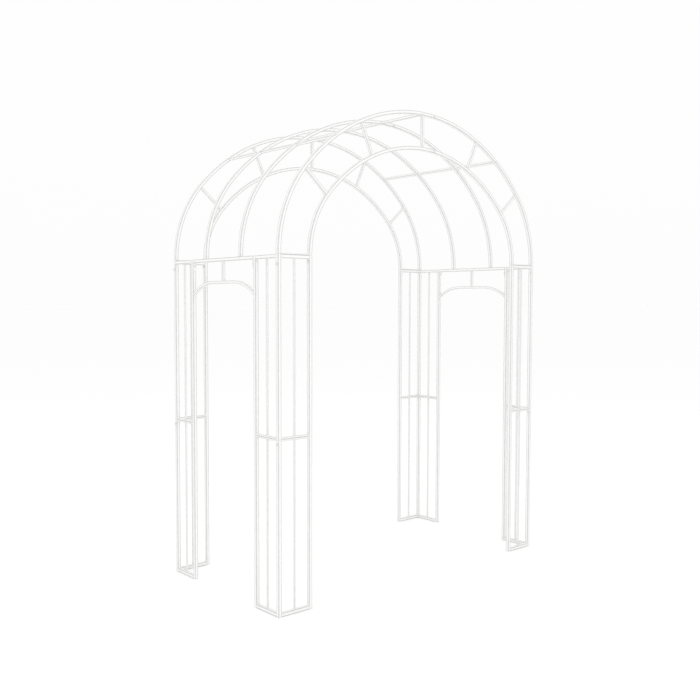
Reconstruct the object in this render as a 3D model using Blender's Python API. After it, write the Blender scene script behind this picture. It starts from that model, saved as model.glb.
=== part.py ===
"""Metal trellis arch: four two-part trellis legs, a ribbed roof and two side frames.

Metres, +Z up. X runs across the walk-through, Y from front to back, and the origin is on the
ground in the middle of the four legs. The arch is bolted together from welded steel frames.
"""

import math

import bmesh
import bpy
from mathutils import Vector

# Overall sizes, between the centre lines of the corner posts.
ARCH_WIDTH = 2.000
ARCH_DEPTH = 1.000
LEG_HEIGHT = 1.820
LOWER_HEIGHT = 0.900
RIB_RISE = 0.815
HAUNCH_RADIUS = 0.665

# Trellis panels of the legs.
PANEL_WIDTH = 0.195
RIB_BAYS = 3

# Steel sections.
TUBE = 0.020
WALL = 0.0015
THIN_TUBE_HEIGHT = 0.010
INFILL_BAR = 0.010
BRACE = 0.016
FOOT_PLATE = 0.006
FOOT_PLATE_INSET = 0.001

# Joints between the frames.
GAP = 0.0003
SPIGOT_CLEARANCE = 0.0003
LEG_SPIGOT = 0.058
ROOF_SPIGOT = 0.075
RIB_PEG = 0.040
SPLICE_SPIGOT = 0.058
SOCKET_EXTRA = 0.003
SPLICE_OFFSET = 0.060

# Roof bracing.
TIES_PER_FACE = 5
PURLIN_STATIONS = {"left": 0.262, "ridge": 0.500, "right": 0.738}
PIN_RADIUS = 0.004
PIN_LENGTH = 0.009
PIN_CLEARANCE = 0.0003

# Side frames under the rails.
TRANSOM_DROP = 0.131
TRANSOM_FLAT = 0.210
TRANSOM_TURN = math.radians(36.5)
TAB_THICKNESS = 0.004
TAB_HEIGHT = 0.062

# M6 bolts with dome heads, washers and cap nuts.
BOLT_RADIUS = 0.003
BOLT_HOLE_RADIUS = 0.0033
HEAD_RADIUS = 0.0075
HEAD_HEIGHT = 0.0036
WASHER_RADIUS = 0.0070
WASHER_THICKNESS = 0.0014
NUT_ACROSS_FLATS = 0.0100
NUT_HEIGHT = 0.0052
CAP_HEIGHT = 0.0066
SCREW_DEPTH = 0.028
LEG_BOLT_DROP = 0.026
CORNER_BOLT_DROP = 0.050
INNER_BOLT_DROP = 0.032
TAB_BOLT_DROP = 0.038
SPLICE_BOLT_OFFSET = 0.028

# Smoothness of curved pieces.
RIB_STEPS = 20
BEND_STEPS = 8
ROUND_SIDES = 12

HALF_WIDTH = ARCH_WIDTH / 2
HALF_DEPTH = ARCH_DEPTH / 2
SPRING_HEIGHT = LEG_HEIGHT + GAP + FOOT_PLATE
SOCKET = TUBE - 2 * WALL
SPIGOT = SOCKET - 2 * SPIGOT_CLEARANCE
# The crown's arc is tangent to both haunch arcs and passes through the top of the arch.
CROWN_RADIUS = ((HALF_WIDTH - HAUNCH_RADIUS) ** 2 + RIB_RISE**2 - HAUNCH_RADIUS**2) / (
    2 * (RIB_RISE - HAUNCH_RADIUS)
)
HAUNCH_TURN = math.atan2(CROWN_RADIUS - RIB_RISE, HALF_WIDTH - HAUNCH_RADIUS)
HAUNCH_LENGTH = HAUNCH_RADIUS * HAUNCH_TURN
CROWN_LENGTH = CROWN_RADIUS * (math.pi - 2 * HAUNCH_TURN)
RIB_LENGTH = 2 * HAUNCH_LENGTH + CROWN_LENGTH

X_AXIS = Vector((1, 0, 0))
Y_AXIS = Vector((0, 1, 0))
Z_AXIS = Vector((0, 0, 1))


def clear_scene():
    for obj in list(bpy.data.objects):
        bpy.data.objects.remove(obj)


def steel_paint(name, colour, roughness):
    material = bpy.data.materials.new(name)
    material.use_nodes = True
    shader = material.node_tree.nodes["Principled BSDF"]
    shader.inputs["Base Color"].default_value = (*colour, 1)
    shader.inputs["Roughness"].default_value = roughness
    return material


def new_object(name, mesh_builder, material=None):
    """A mesh object in the scene, from a bmesh, with its faces turned outwards."""
    bmesh.ops.recalc_face_normals(mesh_builder, faces=mesh_builder.faces)
    mesh = bpy.data.meshes.new(name)
    mesh_builder.to_mesh(mesh)
    mesh_builder.free()
    obj = bpy.data.objects.new(name, mesh)
    bpy.context.scene.collection.objects.link(obj)
    if material:
        mesh.materials.append(material)
    return obj


def loft(rings):
    """A closed bmesh through rings of points, with a flat cap on each end."""
    built = bmesh.new()
    rows = [[built.verts.new(point) for point in ring] for ring in rings]
    for first, second in zip(rows, rows[1:]):
        for i in range(len(first)):
            j = (i + 1) % len(first)
            built.faces.new((first[i], first[j], second[j], second[i]))
    built.faces.new(rows[0][::-1])
    built.faces.new(rows[-1])
    return built


def swept_bar(path, across, height, width):
    """A bar along a path of (point, normal) pairs: height along the normal, width along across."""
    rings = []
    for point, normal in path:
        up = normal * (height / 2)
        side = across * (width / 2)
        rings.append([point + up + side, point + up - side, point - up - side, point - up + side])
    return loft(rings)


def straight_bar(start, end, height, width=None, up=Z_AXIS):
    """A straight bar of rectangular section between two points."""
    across = (end - start).normalized().cross(up).normalized()
    return swept_bar([(start, up), (end, up)], across, height, height if width is None else width)


def upright(x, y, low, high, side=TUBE):
    return straight_bar(Vector((x, y, low)), Vector((x, y, high)), side, up=X_AXIS)


def round_bar(centre, axis, length, radius):
    """A round bar along an axis, with its middle at centre."""
    first, second = cross_axes(axis)
    rings = []
    for end in (-length / 2, length / 2):
        middle = centre + axis * end
        rings.append([middle + spoke for spoke in spokes(first, second, [radius] * ROUND_SIDES)])
    return loft(rings)


def cross_axes(axis):
    """Two unit vectors square to an axis and to each other."""
    first = (Z_AXIS if abs(axis.z) < 0.9 else X_AXIS).cross(axis).normalized()
    return first, axis.cross(first)


def spokes(first, second, radii):
    count = len(radii)
    turns = [2 * math.pi * (i + 0.5) / count for i in range(count)]
    return [(first * math.cos(t) + second * math.sin(t)) * r for t, r in zip(turns, radii)]


def welded(name, members, cuts, material, solver="EXACT", late_members=()):
    """One solid from overlapping members, less the cuts, with the late members added after them."""
    frame = new_object(name, members[0], material)
    steps = [("UNION", member) for member in members[1:]]
    steps += [("DIFFERENCE", cut) for cut in cuts]
    steps += [("UNION", member) for member in late_members]
    for number, (operation, shape) in enumerate(steps):
        helper = new_object(f"{name}_shape_{number}", shape)
        helper.hide_render = True
        helper.display_type = "WIRE"
        join = frame.modifiers.new(f"{operation.lower()}_{number}", "BOOLEAN")
        join.operation = operation
        join.object = helper
        join.solver = solver
    return frame


def arch_place(turn, inset=0.0):
    """Point and outward normal on a three-centred rib, where turn is the angle from the left foot.

    The rib is an arc of the haunch radius at each foot and of the crown radius between them,
    and they share a tangent where they meet.
    """
    normal = Vector((-math.cos(turn), 0, math.sin(turn)))
    if turn < HAUNCH_TURN:
        centre, radius = Vector((HAUNCH_RADIUS - HALF_WIDTH, 0, 0)), HAUNCH_RADIUS
    elif turn > math.pi - HAUNCH_TURN:
        centre, radius = Vector((HALF_WIDTH - HAUNCH_RADIUS, 0, 0)), HAUNCH_RADIUS
    else:
        centre, radius = Vector((0, 0, RIB_RISE - CROWN_RADIUS)), CROWN_RADIUS
    spring = Vector((0, 0, SPRING_HEIGHT))
    return spring + centre + normal * (radius - inset), normal


def turn_at(distance):
    """The turn of the outer rib at a distance along it from its left foot."""
    if distance < HAUNCH_LENGTH:
        return distance / HAUNCH_RADIUS
    if distance > RIB_LENGTH - HAUNCH_LENGTH:
        return math.pi - (RIB_LENGTH - distance) / HAUNCH_RADIUS
    return HAUNCH_TURN + (distance - HAUNCH_LENGTH) / CROWN_RADIUS


def rib_path(y, first_turn, last_turn, inset=0.0, steps=RIB_STEPS):
    path = []
    for i in range(steps + 1):
        point, normal = arch_place(first_turn + (last_turn - first_turn) * i / steps, inset)
        path.append((point + Y_AXIS * y, normal))
    return path


def with_foot(path, foot_height, right):
    """The path carried straight down from its foot, which is its last point on the right."""
    point, normal = path[-1 if right else 0]
    foot = (Vector((point.x, point.y, foot_height)), normal)
    return path + [foot] if right else [foot] + path


def crown_turn(distance, inset=0.0):
    """The turn that is a distance past the crown, on a rib moved inwards by inset."""
    return math.pi / 2 + distance / (CROWN_RADIUS - inset)


def half_rib(y, right, inset, foot_height):
    """Members and cuts of half a rib: the left one ends in a spigot, the right one in its socket."""
    splice = crown_turn(SPLICE_OFFSET, inset)
    gap_turn = GAP / (CROWN_RADIUS - inset)
    bolt = arch_place(crown_turn(SPLICE_OFFSET + SPLICE_BOLT_OFFSET, inset), inset)[0] + Y_AXIS * y
    bolt_hole = round_bar(bolt, Y_AXIS, 2 * TUBE, BOLT_HOLE_RADIUS)
    if right:
        path = with_foot(rib_path(y, splice + gap_turn, math.pi, inset), foot_height, True)
        depth = SPLICE_SPIGOT + SOCKET_EXTRA
        mouth = crown_turn(SPLICE_OFFSET - SOCKET_EXTRA, inset)
        end = crown_turn(SPLICE_OFFSET + depth, inset)
        socket = rib_path(y, mouth, end, inset, BEND_STEPS)
        return [swept_bar(path, Y_AXIS, TUBE, TUBE)], [
            swept_bar(socket, Y_AXIS, SOCKET, SOCKET),
            bolt_hole,
        ]
    path = with_foot(rib_path(y, 0, splice, inset), foot_height, False)
    root = crown_turn(SPLICE_OFFSET - TUBE, inset)
    tip = crown_turn(SPLICE_OFFSET + SPLICE_SPIGOT, inset)
    spigot = rib_path(y, root, tip, inset, BEND_STEPS)
    members = [swept_bar(path, Y_AXIS, TUBE, TUBE), swept_bar(spigot, Y_AXIS, SPIGOT, SPIGOT)]
    return members, [bolt_hole]


def purlin_place(line):
    return arch_place(turn_at(PURLIN_STATIONS[line] * RIB_LENGTH))[0]


def purlin_is_on(line, right):
    splice = SPLICE_OFFSET
    return (purlin_place(line).x > splice) == right


def rib_positions():
    return [HALF_DEPTH * (2 * i / RIB_BAYS - 1) for i in range(RIB_BAYS + 1)]


def face_arch_half(name, y, right, paint):
    """Half of a front or back arch: outer and inner rib, their ties and a plate over the leg."""
    side = 1 if right else -1
    members, cuts = [], []
    for inset in (0.0, PANEL_WIDTH):
        rib_members, rib_cuts = half_rib(y, right, inset, SPRING_HEIGHT - FOOT_PLATE / 2)
        members += rib_members
        cuts += rib_cuts
    overhang = TUBE / 2 - FOOT_PLATE_INSET
    outer_x = side * (HALF_WIDTH + overhang)
    inner_x = side * (HALF_WIDTH - PANEL_WIDTH - overhang)
    plate_height = SPRING_HEIGHT - FOOT_PLATE / 2
    ends = [Vector((x, y, plate_height)) for x in sorted((outer_x, inner_x))]
    members.append(straight_bar(*ends, FOOT_PLATE, 2 * overhang))
    for inset, drop in ((0.0, CORNER_BOLT_DROP), (PANEL_WIDTH, INNER_BOLT_DROP)):
        x = side * (HALF_WIDTH - inset)
        members.append(upright(x, y, LEG_HEIGHT - ROOF_SPIGOT, plate_height, SPIGOT))
        cuts.append(post_bolt_hole(x, y, LEG_HEIGHT - drop))
    for number in range(1, TIES_PER_FACE + 1):
        turn = turn_at(RIB_LENGTH * number / (TIES_PER_FACE + 1))
        start = arch_place(turn)[0] + Y_AXIS * y
        end = arch_place(turn, PANEL_WIDTH)[0] + Y_AXIS * y
        if (start.x > SPLICE_OFFSET) == right:
            members.append(straight_bar(start, end, BRACE, up=Y_AXIS))
    for line in PURLIN_STATIONS:
        if purlin_is_on(line, right):
            place = purlin_place(line) + Y_AXIS * y
            cuts.append(round_bar(place, Y_AXIS, 2 * TUBE, BOLT_HOLE_RADIUS))
    # The exact solver loses a facet of the splice bolt's hole here.
    return welded(name, members, cuts, paint, solver="MANIFOLD")


def middle_rib_half(name, y, right, paint):
    """Half of a middle rib, with a socket in its foot for the peg on the rail."""
    side = 1 if right else -1
    members, cuts = half_rib(y, right, 0.0, LEG_HEIGHT + GAP)
    low = LEG_HEIGHT - SOCKET_EXTRA
    cuts.append(upright(side * HALF_WIDTH, y, low, LEG_HEIGHT + RIB_PEG + SOCKET_EXTRA, SOCKET))
    for line in PURLIN_STATIONS:
        if purlin_is_on(line, right):
            place = purlin_place(line) + Y_AXIS * y
            cuts.append(round_bar(place, Y_AXIS, 2 * TUBE, PIN_RADIUS + PIN_CLEARANCE))
    return welded(name, members, cuts, paint)


def post_bolt_hole(x, y, height):
    return round_bar(Vector((x, y, height)), X_AXIS, 2 * TUBE, BOLT_HOLE_RADIUS)


def leg_posts(side_x, side_y):
    """Centres of a leg's corner post and of the end posts of its front and side panels."""
    corner = Vector((side_x * HALF_WIDTH, side_y * HALF_DEPTH, 0))
    front_end = corner - X_AXIS * side_x * PANEL_WIDTH
    side_end = corner - Y_AXIS * side_y * PANEL_WIDTH
    return corner, front_end, side_end


def leg_members(side_x, side_y, low, high, low_bar, high_bar):
    """Three posts, two infill bars, and a bar across each end of both panels."""
    corner, front_end, side_end = leg_posts(side_x, side_y)
    members = [upright(post.x, post.y, low, high) for post in (corner, front_end, side_end)]
    for end in (front_end, side_end):
        middle = (corner + end) / 2
        members.append(upright(middle.x, middle.y, low + low_bar / 2, high - high_bar / 2, INFILL_BAR))
        for bar_height, height in ((low + low_bar / 2, low_bar), (high - high_bar / 2, high_bar)):
            lift = Z_AXIS * bar_height
            members.append(straight_bar(corner + lift, end + lift, height, TUBE))
    return members


def lower_leg(name, side_x, side_y, paint):
    """The lower trellis section, with a socket in the top of each post."""
    members = leg_members(side_x, side_y, 0, LOWER_HEIGHT, TUBE, THIN_TUBE_HEIGHT)
    cuts = []
    for post in leg_posts(side_x, side_y):
        bottom = LOWER_HEIGHT - LEG_SPIGOT - SOCKET_EXTRA
        cuts.append(upright(post.x, post.y, bottom, LOWER_HEIGHT + SOCKET_EXTRA, SOCKET))
    corner = leg_posts(side_x, side_y)[0]
    cuts.append(post_bolt_hole(corner.x, corner.y, LOWER_HEIGHT - LEG_BOLT_DROP))
    return welded(name, members, cuts, paint)


def upper_leg(name, side_x, side_y, paint):
    """The upper trellis section: spigots below, and sockets for the roof in two of its posts."""
    low = LOWER_HEIGHT + GAP
    corner, front_end, side_end = leg_posts(side_x, side_y)
    members = leg_members(side_x, side_y, low, LEG_HEIGHT, THIN_TUBE_HEIGHT, TUBE)
    for post in (corner, front_end, side_end):
        members.append(upright(post.x, post.y, LOWER_HEIGHT - LEG_SPIGOT, low + TUBE, SPIGOT))
    cuts = [post_bolt_hole(corner.x, corner.y, LOWER_HEIGHT - LEG_BOLT_DROP)]
    for post, drop in ((corner, CORNER_BOLT_DROP), (front_end, INNER_BOLT_DROP)):
        bottom = LEG_HEIGHT - ROOF_SPIGOT - SOCKET_EXTRA
        cuts.append(upright(post.x, post.y, bottom, LEG_HEIGHT + SOCKET_EXTRA, SOCKET))
        cuts.append(post_bolt_hole(post.x, post.y, LEG_HEIGHT - drop))
    tab_bolt = side_end + Z_AXIS * (LEG_HEIGHT - TAB_BOLT_DROP)
    cuts.append(round_bar(tab_bolt, Y_AXIS, 2 * TUBE, BOLT_HOLE_RADIUS))
    transom_end = side_end + Z_AXIS * transom_end_height()
    cuts.append(round_bar(transom_end, Y_AXIS, 2 * TUBE, PIN_RADIUS + PIN_CLEARANCE))
    return welded(name, members, cuts, paint)


def side_opening_half():
    """Half the clear width between the two legs on one side of the arch."""
    return HALF_DEPTH - PANEL_WIDTH - TUBE / 2


def transom_radius():
    return (side_opening_half() - TRANSOM_FLAT / 2) / math.sin(TRANSOM_TURN)


def transom_end_height():
    return LEG_HEIGHT - TRANSOM_DROP - transom_radius() * (1 - math.cos(TRANSOM_TURN))


def transom_path(x):
    """A flat bar whose ends turn down in arcs, and run on straight past the faces of the posts."""
    radius = transom_radius()
    flat_height = LEG_HEIGHT - TRANSOM_DROP
    right_end = []
    for i in range(BEND_STEPS + 1):
        turn = TRANSOM_TURN * i / BEND_STEPS
        y = TRANSOM_FLAT / 2 + radius * math.sin(turn)
        z = flat_height - radius * (1 - math.cos(turn))
        right_end.append((Vector((x, y, z)), Vector((0, math.sin(turn), math.cos(turn)))))
    point, normal = right_end[-1]
    onward = Vector((0, normal.z, -normal.y))
    right_end.append((point + onward * BRACE, normal))
    return mirrored_in_y(right_end)[::-1] + right_end


def mirrored_in_y(path):
    flip = Vector((1, -1, 1))
    return [(point * flip, normal * flip) for point, normal in path]


def side_frame(name, side_x, paint):
    """A rail between two legs, with the bent transom and its stub below and the rib pegs on top."""
    x = side_x * HALF_WIDTH
    reach = side_opening_half() - GAP
    rail_height = LEG_HEIGHT - TUBE / 2
    members = [
        straight_bar(Vector((x, -reach, rail_height)), Vector((x, reach, rail_height)), TUBE),
        swept_bar(transom_path(x), X_AXIS, BRACE, BRACE),
        upright(x, 0, LEG_HEIGHT - TRANSOM_DROP, rail_height, BRACE),
    ]
    trim, pins = [], []
    pin_height = Z_AXIS * transom_end_height()
    for side_y in (-1, 1):
        tab = Vector((x, side_y * (reach - TAB_THICKNESS / 2), 0))
        low, high = tab + Z_AXIS * (LEG_HEIGHT - TAB_HEIGHT), tab + Z_AXIS * LEG_HEIGHT
        members.append(straight_bar(low, high, TAB_THICKNESS, TUBE, up=Y_AXIS))
        bolt_hole = tab + Z_AXIS * (LEG_HEIGHT - TAB_BOLT_DROP)
        trim.append(round_bar(bolt_hole, Y_AXIS, TUBE, BOLT_HOLE_RADIUS))
        # A block past the face of the post cuts the bent end flush.
        block = Vector((x, side_y * (reach + TUBE), 0)) + pin_height
        block_ends = block - Z_AXIS * 2 * TUBE, block + Z_AXIS * 2 * TUBE
        trim.append(straight_bar(*block_ends, 2 * TUBE, up=Y_AXIS))
        pin = Vector((x, side_y * (reach + (PIN_LENGTH - BRACE) / 2), 0)) + pin_height
        pins.append(round_bar(pin, Y_AXIS, PIN_LENGTH + BRACE, PIN_RADIUS))
    for y in rib_positions()[1:-1]:
        members.append(upright(x, y, rail_height, LEG_HEIGHT + RIB_PEG, SPIGOT))
    return welded(name, members, trim, paint, late_members=pins)


def purlin(name, line, start_y, end_y, paint):
    """A bar between two ribs: a pin goes into a middle rib, a screw hole takes a face rib's bolt."""
    place = purlin_place(line)
    normal = arch_place(turn_at(PURLIN_STATIONS[line] * RIB_LENGTH))[1]
    low, high = start_y + TUBE / 2 + GAP, end_y - TUBE / 2 - GAP
    start, end = place + Y_AXIS * low, place + Y_AXIS * high
    members = [straight_bar(start, end, BRACE, up=normal)]
    cuts = []
    for middle, outward, rib_y in ((start, -1, start_y), (end, 1, end_y)):
        if math.isclose(abs(rib_y), HALF_DEPTH):
            hole = middle - Y_AXIS * outward * SCREW_DEPTH / 2
            cuts.append(round_bar(hole, Y_AXIS, SCREW_DEPTH + SOCKET_EXTRA * 2, BOLT_HOLE_RADIUS))
        else:
            pin = middle + Y_AXIS * outward * (PIN_LENGTH - BRACE) / 2
            members.append(round_bar(pin, Y_AXIS, PIN_LENGTH + BRACE, PIN_RADIUS))
    return welded(name, members, cuts, paint)


def bolt_ring(origin, axis, distance, radii):
    first, second = cross_axes(axis)
    return [origin + axis * distance + spoke for spoke in spokes(first, second, radii)]


def head_profile():
    """(distance, radius) pairs up a dome head, from its top to its underside."""
    return [
        (-HEAD_HEIGHT, HEAD_RADIUS * 0.35),
        (-HEAD_HEIGHT * 0.78, HEAD_RADIUS * 0.75),
        (0, HEAD_RADIUS),
    ]


def bolt(name, middle, axis, grip, paint, capped=True):
    """A dome-headed bolt along an axis, head first, with its washer and cap nut tightened on it.

    grip is the thickness that it clamps. An uncapped bolt ends in its thread instead, and
    middle is then still the middle of the grip.
    """
    under_head = -grip / 2 - GAP
    rings = [(under_head + distance, [radius] * ROUND_SIDES) for distance, radius in head_profile()]
    rings.append((under_head, [BOLT_RADIUS] * ROUND_SIDES))
    if capped:
        far = grip / 2 + GAP
        corner = NUT_ACROSS_FLATS / 2 / math.cos(math.pi / 6)
        hexagon = [corner if i % 2 == 0 else NUT_ACROSS_FLATS / 2 for i in range(ROUND_SIDES)]
        nut = far + WASHER_THICKNESS
        dome = nut + NUT_HEIGHT
        rings += [
            (far, [BOLT_RADIUS] * ROUND_SIDES),
            (far, [WASHER_RADIUS] * ROUND_SIDES),
            (nut, [WASHER_RADIUS] * ROUND_SIDES),
            (nut, hexagon),
            (dome, hexagon),
            (dome, [NUT_ACROSS_FLATS * 0.46] * ROUND_SIDES),
            (dome + CAP_HEIGHT * 0.62, [NUT_ACROSS_FLATS * 0.38] * ROUND_SIDES),
            (dome + CAP_HEIGHT, [NUT_ACROSS_FLATS * 0.14] * ROUND_SIDES),
        ]
    else:
        rings.append((grip / 2 + SCREW_DEPTH * 0.85, [BOLT_RADIUS] * ROUND_SIDES))
    built = loft([bolt_ring(middle, axis, distance, radii) for distance, radii in rings])
    obj = new_object(name, built, paint)
    obj.data.shade_smooth()
    obj.data.set_sharp_from_angle(angle=math.radians(40))
    return obj


def build_legs(paint):
    for side_y, face in ((-1, "front"), (1, "back")):
        for side_x, side in ((-1, "left"), (1, "right")):
            lower_leg(f"{face}_{side}_lower_leg", side_x, side_y, paint)
            upper_leg(f"{face}_{side}_upper_leg", side_x, side_y, paint)


def build_roof(paint):
    names = ["front"] + [f"middle_{i}" for i in range(1, RIB_BAYS)] + ["back"]
    positions = rib_positions()
    for name, y in zip(names, positions):
        for right, side in ((False, "left"), (True, "right")):
            if name in ("front", "back"):
                face_arch_half(f"{name}_arch_{side}_half", y, right, paint)
            else:
                middle_rib_half(f"{name}_rib_{side}_half", y, right, paint)
    bays = [f"bay_{i}" for i in range(1, RIB_BAYS + 1)]
    for line in PURLIN_STATIONS:
        for bay, start_y, end_y in zip(bays, positions, positions[1:]):
            purlin(f"{line}_purlin_{bay}", line, start_y, end_y, paint)
    for side_x, side in ((-1, "left"), (1, "right")):
        side_frame(f"{side}_side_frame", side_x, paint)


def build_leg_bolts(paint):
    for side_y, face in ((-1, "front"), (1, "back")):
        for side_x, side in ((-1, "left"), (1, "right")):
            corner, front_end, side_end = leg_posts(side_x, side_y)
            outward = X_AXIS * side_x
            for bolt_name, post, height in (
                ("leg_joint", corner, LOWER_HEIGHT - LEG_BOLT_DROP),
                ("corner_top", corner, LEG_HEIGHT - CORNER_BOLT_DROP),
                ("inner_top", front_end, LEG_HEIGHT - INNER_BOLT_DROP),
            ):
                middle = post + Z_AXIS * height
                bolt(f"{face}_{side}_{bolt_name}_bolt", middle, outward, TUBE, paint)
            inward = -Y_AXIS * side_y
            clamped = TUBE + GAP + TAB_THICKNESS
            tab = side_end + Z_AXIS * (LEG_HEIGHT - TAB_BOLT_DROP) + inward * (clamped - TUBE) / 2
            bolt(f"{face}_{side}_side_frame_bolt", tab, inward, clamped, paint)


def build_roof_bolts(paint):
    for side_y, face in ((-1, "front"), (1, "back")):
        for line in PURLIN_STATIONS:
            place = purlin_place(line) + Y_AXIS * side_y * HALF_DEPTH
            bolt(f"{face}_{line}_purlin_bolt", place, -Y_AXIS * side_y, TUBE, paint, capped=False)
    splices = [("outer", 0.0, y) for y in rib_positions()]
    splices += [("inner", PANEL_WIDTH, y) for y in (-HALF_DEPTH, HALF_DEPTH)]
    names = ["front", "middle_1", "middle_2", "back"]
    for rib, inset, y in splices:
        turn = crown_turn(SPLICE_OFFSET + SPLICE_BOLT_OFFSET, inset)
        place = arch_place(turn, inset)[0] + Y_AXIS * y
        face = names[rib_positions().index(y)]
        nut_side = Y_AXIS if y > 0 else -Y_AXIS
        bolt(f"{face}_{rib}_splice_bolt", place, nut_side, TUBE, paint)


def main():
    clear_scene()
    powder_coat = steel_paint("white_powder_coat", (0.86, 0.86, 0.85), 0.38)
    bolt_paint = steel_paint("white_bolt_paint", (0.84, 0.84, 0.83), 0.45)
    build_legs(powder_coat)
    build_roof(powder_coat)
    build_leg_bolts(bolt_paint)
    build_roof_bolts(bolt_paint)


main()
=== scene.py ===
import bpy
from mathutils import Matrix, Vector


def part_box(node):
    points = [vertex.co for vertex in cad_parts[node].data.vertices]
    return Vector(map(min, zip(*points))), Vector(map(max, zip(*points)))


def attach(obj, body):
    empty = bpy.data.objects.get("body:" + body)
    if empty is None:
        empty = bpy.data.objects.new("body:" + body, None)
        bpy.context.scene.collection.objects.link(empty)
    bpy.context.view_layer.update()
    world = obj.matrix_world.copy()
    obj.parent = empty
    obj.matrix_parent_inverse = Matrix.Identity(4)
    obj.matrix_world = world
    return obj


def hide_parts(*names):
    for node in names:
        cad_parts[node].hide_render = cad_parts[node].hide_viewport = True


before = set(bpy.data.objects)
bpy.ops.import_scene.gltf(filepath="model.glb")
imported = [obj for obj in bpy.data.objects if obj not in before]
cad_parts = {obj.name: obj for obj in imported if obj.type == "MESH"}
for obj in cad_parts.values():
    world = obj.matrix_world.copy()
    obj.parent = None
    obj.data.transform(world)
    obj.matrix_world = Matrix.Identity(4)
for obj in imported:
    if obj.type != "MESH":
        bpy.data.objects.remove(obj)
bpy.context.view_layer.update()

# Metal trellis arch in metres, +Z up: rolled steel tube welded into frames, powder coated white
# and bolted together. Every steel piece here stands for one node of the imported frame.

import math

import bpy
import numpy as np
from mathutils import Matrix

X = np.array([1.0, 0.0, 0.0])
Y = np.array([0.0, 1.0, 0.0])
Z = np.array([0.0, 0.0, 1.0])

# Sizes of the steel sections and of the joints between frames.
TUBE = 0.020
THIN_TUBE = 0.010
INFILL = 0.010
BRACE = 0.016
WALL = 0.0015
CLEARANCE = 0.0003
SOCKET = TUBE - 2 * WALL
SPIGOT = SOCKET - 2 * CLEARANCE
TUBE_CORNER = 0.0022
BRACE_CORNER = 0.0018
BAR_CORNER = 0.0011
PLATE_CORNER = 0.0008
THIN_TUBE_CORNER = 0.0016
PLUG_CORNER = 0.001
LEAST_CORNER = 0.0002
END_ROUND = 0.0007
END_SUPPORT = 0.002
GAP = 0.0003
LEG_SPIGOT = 0.058
ROOF_SPIGOT = 0.075
RIB_PEG = 0.040
SPLICE_SPIGOT = 0.058
SOCKET_EXTRA = 0.003
SPLICE_OFFSET = 0.060
PIN = 0.004
PIN_LENGTH = 0.009
PIN_SHORT = 0.001
SCREW_HOLE = 0.0033
SCREW_DEPTH = 0.028
FOOT_PLATE = 0.006
FOOT_PLATE_INSET = 0.001
TAB_THICKNESS = 0.004
TAB_HEIGHT = 0.062
BUTT_DEPTH = 0.0006
PEG_ROOT = 0.001
NEARLY_ROUND = 0.98

# How finely the pieces are drawn: points round a corner, and outlines along rims, plugs and bends.
CORNER_TURNS = np.radians([0, 22.5, 45, 67.5, 90])
FLAT_INSET = 0.4
RIM_TURNS = np.radians([0, 30, 60])
PLUG_STAGES = 7
RIB_STEPS = 110
TRANSOM_STEPS = 64
SHARP_ANGLE = math.radians(42)

# Weld beads: the leg of a fillet on the 20 mm and on the thinner bars, how proud beads stand, the
# spacing of their ripples, and the radians per metre of a slower drift in their height.
FILLET = 0.0021
SMALL_FILLET = 0.0018
FLUSH = 0.0008
BURIED = 0.0002
TIE_BEAD = (0.0018, 0.0018, 0.0021, 0.0021)
RIB_FILLET = 0.0020
RIB_FLUSH = 0.0006
RIB_SIDE_BEAD = 0.0012
TAB_BEAD = (0.0003, 0.0022, 0.0007, 0.0007)
BEAD_LOOPS = 64
BEAD_SIDES = 10
BEAD_SINK = 0.0003
BEAD_FILM = 0.12
RIPPLE = 0.0024
RIPPLE_DRIFT = 900.0

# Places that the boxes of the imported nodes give.
leg_low, leg_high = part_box("front_left_lower_leg")
HALF_WIDTH = -leg_low.x - TUBE / 2
HALF_DEPTH = -leg_low.y - TUBE / 2
PANEL_WIDTH = leg_high.x - leg_low.x - TUBE
JOINT_HEIGHT = leg_high.z
LEG_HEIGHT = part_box("front_left_upper_leg")[1].z
SPRING_HEIGHT = LEG_HEIGHT + GAP + FOOT_PLATE
RIB_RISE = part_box("front_arch_left_half")[1].z - TUBE / 2 - SPRING_HEIGHT

# Shape of the roof and of the side frames.
HAUNCH_RADIUS = 0.665
TIES_PER_FACE = 5
PURLIN_STATIONS = {"left": 0.262, "ridge": 0.500, "right": 0.738}
TRANSOM_DROP = 0.131
TRANSOM_FLAT = 0.210
TRANSOM_TURN = math.radians(36.5)

# Bolts: M6 with a cup head, a washer and a cap nut.
BOLT_RADIUS = 0.003
HEAD_RADIUS = 0.0075
HEAD_HEIGHT = 0.0036
WASHER_RADIUS = 0.0070
WASHER_THICKNESS = 0.0014
NUT_FLATS = 0.0100
NUT_HEIGHT = 0.0052
CAP_HEIGHT = 0.0066
LEG_BOLT_DROP = 0.026
CORNER_BOLT_DROP = 0.050
INNER_BOLT_DROP = 0.032
TAB_BOLT_DROP = 0.038
SPLICE_BOLT_OFFSET = 0.028
SCREW_REACH = 0.85 * SCREW_DEPTH
EDGE_BREAK = 0.0002
THREAD_CHAMFER = 0.0008
NUT_CHAMFER = 0.0005
TURNED_SIDES = 48

CROWN_RADIUS = ((HALF_WIDTH - HAUNCH_RADIUS) ** 2 + RIB_RISE**2 - HAUNCH_RADIUS**2) / (
    2 * (RIB_RISE - HAUNCH_RADIUS)
)
HAUNCH_TURN = math.atan2(CROWN_RADIUS - RIB_RISE, HALF_WIDTH - HAUNCH_RADIUS)
RIB_POSITIONS = {
    "front": -HALF_DEPTH,
    "middle_1": -HALF_DEPTH / 3,
    "middle_2": HALF_DEPTH / 3,
    "back": HALF_DEPTH,
}


# ---------------------------------------------------------------- surfaces


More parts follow.
